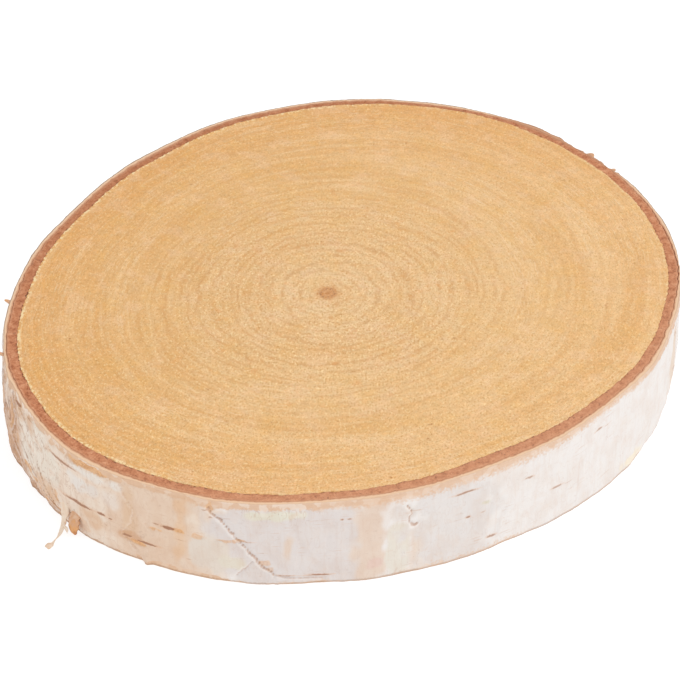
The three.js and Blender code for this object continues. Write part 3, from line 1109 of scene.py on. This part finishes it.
def make_birch_paper():
    """Outer bark with its white skin, peach chips, orange tears and dark lenticels."""
    material, node = start_material("white_birch_paper")
    mm = position_in_mm(node)
    noise_mm = partial(stretched_noise, node, mm)
    stored = {name: node("Attribute", attribute_name=name, output="Fac") for name in BARK_VALUES}
    weathered = stored["weathered"]
    upright = noise_mm((1.1, 1.1, 14.0), 3.0, 0.6)
    level = noise_mm((7.0, 7.0, 0.45))
    speckle = noise_mm(0.8)
    ragged = node("MULTIPLY_ADD", speckle, 0.8, -0.4)

    # White paper, faded and streaked, then flaked, stained and folded where it is weathered.
    faded = node("MapRange", noise_mm((5.0, 5.0, 9.0)), 0.42, 0.68)
    streaks = node("MapRange", upright, 0.5, 0.72)
    paper = node("Attribute", attribute_name="paint", output="Color")
    paper = node("Mix", node("MULTIPLY", faded, 0.25), paper, "#F0DFD2", blend_type="MULTIPLY")
    paper = node("Mix", node("MULTIPLY", streaks, 0.16), paper, "#EFDACA", blend_type="MULTIPLY")
    flakes = node("MapRange", noise_mm((3.2, 3.2, 3.4), 3.0), 0.52, 0.56)
    fold = node("ABSOLUTE", node("SUBTRACT", noise_mm((2.6, 2.6, 8.0)), 0.5))
    ledge = node("MULTIPLY_ADD", speckle, 0.5, node("SUBTRACT", stored["ledge"], 0.25))
    paper = coats(node, paper,
                  ((level, 0.64, 0.72), (noise_mm((10.0, 10.0, 7.0), 1.0), 0.45, 0.6), 0.35,
                   "#C99F80"), (flakes, weathered, 0.38, "#F0E5D8"),
                  ((noise_mm((3.6, 3.6, 3.0), 3.0), 0.55, 0.6), weathered, 0.42, "#D9B394"),
                  ((fold, 0.022, 0.004), weathered, 0.55, "#BC9272"),
                  ((noise_mm((1.3, 1.3, 0.7), 1.0), 0.68, 0.74), weathered, 0.6, "#9C7153"),
                  (stored["layer"], 0.6, "#CFA27E"), ((ledge, 0.25, 0.7), 0.75, "#9A6C50"))

    # Peach under the chips and orange in the tears.
    chipped = node("MapRange", node("ADD", stored["chipped"], ragged),
                   node("MapRange", weathered, 0.7, 0.3, -0.12, -0.32), 0.12)
    torn = node("MapRange", node("ADD", stored["torn"], ragged), -0.15, 0.25)
    torn = node("MULTIPLY", torn, stored["tear_depth"])
    peach = coats(node, node("Mix", upright, "#E0BC9D", "#D5AC8B"), ((level, 0.5, 0.68), 0.3, "#EACFB6"),
                  (flakes, node("MULTIPLY_ADD", weathered, 0.5, 0.15), "#F1E6DA"))
    orange = node("Mix", node("MapRange", speckle, 0.35, 0.65), "#D39A66", "#E6B583")

    # Creases with a painted highlight on their lifted side, lenticels and a darker band along the foot.
    folded = node("MapRange", node("ADD", stored["crease"], node("MULTIPLY", ragged, 0.8)), 0.35, 0.9)
    old = node("MapRange", weathered, 0.3, 0.9)
    slit = node("ADD", stored["slit"], node("MULTIPLY_ADD", speckle, 1.0, -0.5))
    height_mm = node("SeparateXYZ", mm, output="Z")
    # A darker brown band along the foot, reaching higher where the bark is weathered.
    foot_band = node("MULTIPLY_ADD", weathered, -1.1, node("ADD", height_mm, ragged))
    colour = coats(node, paper, (chipped, 0.85, peach), (torn, 0.9, orange),
                   # Painted highlight: a whiter line on the lifted side of each crease.
                   ((stored["crease_side"], 0.15, 0.8), 0.5, "#F3EBE4"),
                   (folded, (weathered, 0.3, 0.9, 0.6, 0.75), node("Mix", old, "#B98664", "#A2714F")),
                   ((slit, -0.5, 0.1), stored["darkness"], 0.5, "#D9AE8C"),
                   ((slit, 0.05, 0.4), stored["darkness"], 0.85, "#96603E"),
                   ((foot_band, 0.9, 0.1), node("MULTIPLY_ADD", weathered, 0.35, 0.5), "#A57C5D"))

    # The sawn rim shows every layer of the bark from its skin inwards.
    depth = stored["depth_mm"]
    layers = node("MULTIPLY_ADD", speckle, 0.3, node("SUBTRACT", depth, 0.3))
    layers = node("ValToRGB", layers, stops=[
        (0.0, "#DDB896"), (0.3, "#EBC8A6"), (0.8, "#E6BF9D"), (1.0, "#D09A76")])
    layers = coats(node, layers, ((depth, 0.5, 0.25), weathered, 0.9, "#7F6354"),
                   ((stored["chipped"], 0.0, 1.0), 0.7, "#B9805D"))
    colour = node("Mix", node("MapRange", depth, 0.05, 0.12), colour, layers)
    dull = node("MULTIPLY_ADD", node("MAXIMUM", chipped, torn), 0.3, 0.5)
    relief = node("MULTIPLY_ADD", level, 0.5, node("MULTIPLY_ADD", upright, 0.6, speckle))
    finish_material(node, colour, dull, BARK_IOR, relief, 0.5, 0.15)
    return material


outer_bark.data.materials.append(make_birch_paper())

# %% [markdown]
# ## Peeled bark
# The curls are the same paper seen from its inner side: peach where it is thin, orange-brown where the
# corky layer came with it. The stored tone picks between them, and fine fibres run along it.

# %% Peeled bark material
def make_peeled_bark():
    """The inner side of a peeled strip."""
    material, node = start_material("peeled_birch_paper")
    tone, skin = (node("Attribute", attribute_name=name, output="Fac") for name in ("tone", "skin"))
    fibres = stretched_noise(node, position_in_mm(node), (0.7, 0.7, 4.0))
    tone = node("MULTIPLY_ADD", fibres, 0.35, node("SUBTRACT", tone, 0.17))
    colour = node("ValToRGB", tone, stops=[
        (0.0, "#EDDFCD"), (0.35, "#E5C6AB"), (0.65, "#D3A27C"), (0.85, "#DDA269"), (1.0, "#C08150")])
    finish_material(node, node("Mix", skin, colour, "#E4DCD6"), 0.6, BARK_IOR, fibres, 0.5, 0.2)
    return material


peeled_bark = make_peeled_bark()
for curl in curls:
    curl.data.materials.append(peeled_bark)

# %% [markdown]
# ## Floor and light
# The slice lies on a white light table: a floor that is white paper and glows a little, so that no shadow
# cuts into its lower edge. A large soft lamp stands to the front right, which makes that side of the bark
# brightest, and a white room does the rest. Its walls are a little brighter low down, where they meet the
# glowing floor.

# %% Floor
FLOOR_HALF = 3.0
FLOOR_GAP = 0.05 * MM


def make_floor():
    """A broad floor just under the slice, with a very faint tooth like card."""
    corners = ((-1, -1), (1, -1), (1, 1), (-1, 1))
    mesh = bpy.data.meshes.new("floor")
    mesh.from_pydata([(x * FLOOR_HALF, y * FLOOR_HALF, slice_low.z - FLOOR_GAP) for x, y in corners], [],
                     [(0, 1, 2, 3)])
    made = bpy.data.objects.new("floor", mesh)
    bpy.context.scene.collection.objects.link(made)
    material, node = start_material("white_card")
    tooth = stretched_noise(node, position_in_mm(node), 3.0)
    finish_material(node, node("Mix", tooth, "#949494", "#9A9A9A"), 0.9, BARK_IOR,
                    **{"Emission Color": "#FFFFFF", "Emission Strength": 0.8})
    mesh.materials.append(material)
    return made


floor = make_floor()

# %% Lights and white room
def area_light(name, place_mm, aims_mm, size, watts):
    """A square soft lamp that faces a point."""
    data = bpy.data.lights.new(name, "AREA")
    data.size = size
    data.energy = watts
    lamp = bpy.data.objects.new(name, data)
    bpy.context.scene.collection.objects.link(lamp)
    lamp.location = Vector(place_mm) * MM
    lamp.rotation_mode = "QUATERNION"
    lamp.rotation_quaternion = (Vector(aims_mm) - Vector(place_mm)).to_track_quat("-Z", "Y")
    return lamp


KEY_AT, KEY_SIZE, KEY_WATTS = (700, -500, 1300), 0.8, 6.0
key = area_light("soft_key", KEY_AT, (0, 0, 0), KEY_SIZE, KEY_WATTS)
world = bpy.data.worlds.new("white_room")
bpy.context.scene.world = world
world.use_nodes = True
world.node_tree.nodes.clear()
node = partial(add, world.node_tree)
climb = node("SeparateXYZ", node("TexCoord", output="Generated"), output="Z")
room = node("Background", "#FFFFFF", node("MapRange", climb, 0.08, 0.16, 1.02, 0.845))
node("OutputWorld", room)
bpy.context.scene.view_settings.view_transform = "Standard"
print(f"key lamp {key.data.energy} W")

# %% [markdown]
# ## Hand the pieces to the frame
# Every piece rides on the frame's one body and stands for its one solid.

# %% Ride the body and hide the solid
for piece, finish in [(wood, "sawn_birch"), (inner_bark, "inner_bark"), (outer_bark, "outer_bark")] + [
        (curl, "outer_bark") for curl in curls]:
    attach(piece, "root")
    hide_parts("birch_slice")
